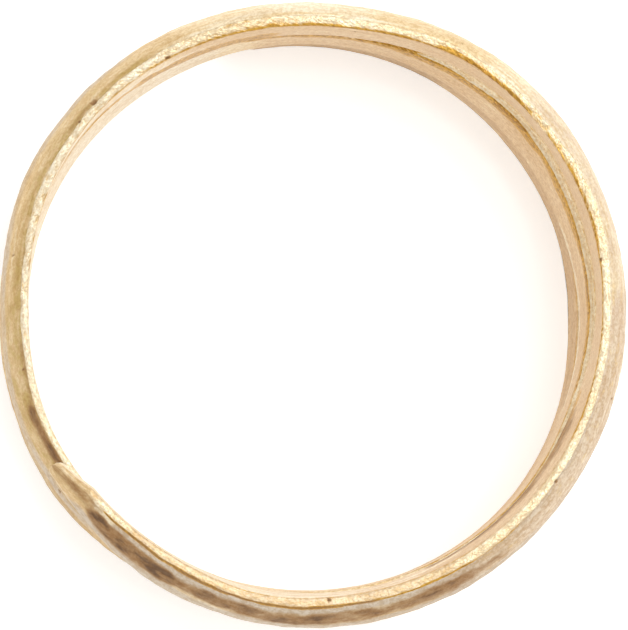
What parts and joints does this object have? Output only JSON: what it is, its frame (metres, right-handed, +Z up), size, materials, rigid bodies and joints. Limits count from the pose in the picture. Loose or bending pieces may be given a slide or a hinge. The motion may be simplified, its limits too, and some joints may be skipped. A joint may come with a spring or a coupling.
{
  "type": "coil ring",
  "caption": "Finger ring wound as an open coil from one length of D-shaped gilt wire, with a tapered tip at its front and a blunter tail.",
  "frame": {"origin": "on the axis of the finger hole, in the plane that the ring stands on", "axes": "+Z up along the finger hole, from the lowest lap to the front lap; +X towards the side away from the tip, in the plane of the laps"},
  "size_m": [0.0215, 0.0216, 0.0059],
  "materials": {
    "gilt_bronze": "worn matte gilding with brown patina and soil in the hollows"
  },
  "bodies": {
    "root": {"coil_wire": "gilt_bronze"}
  },
  "joints": []
}
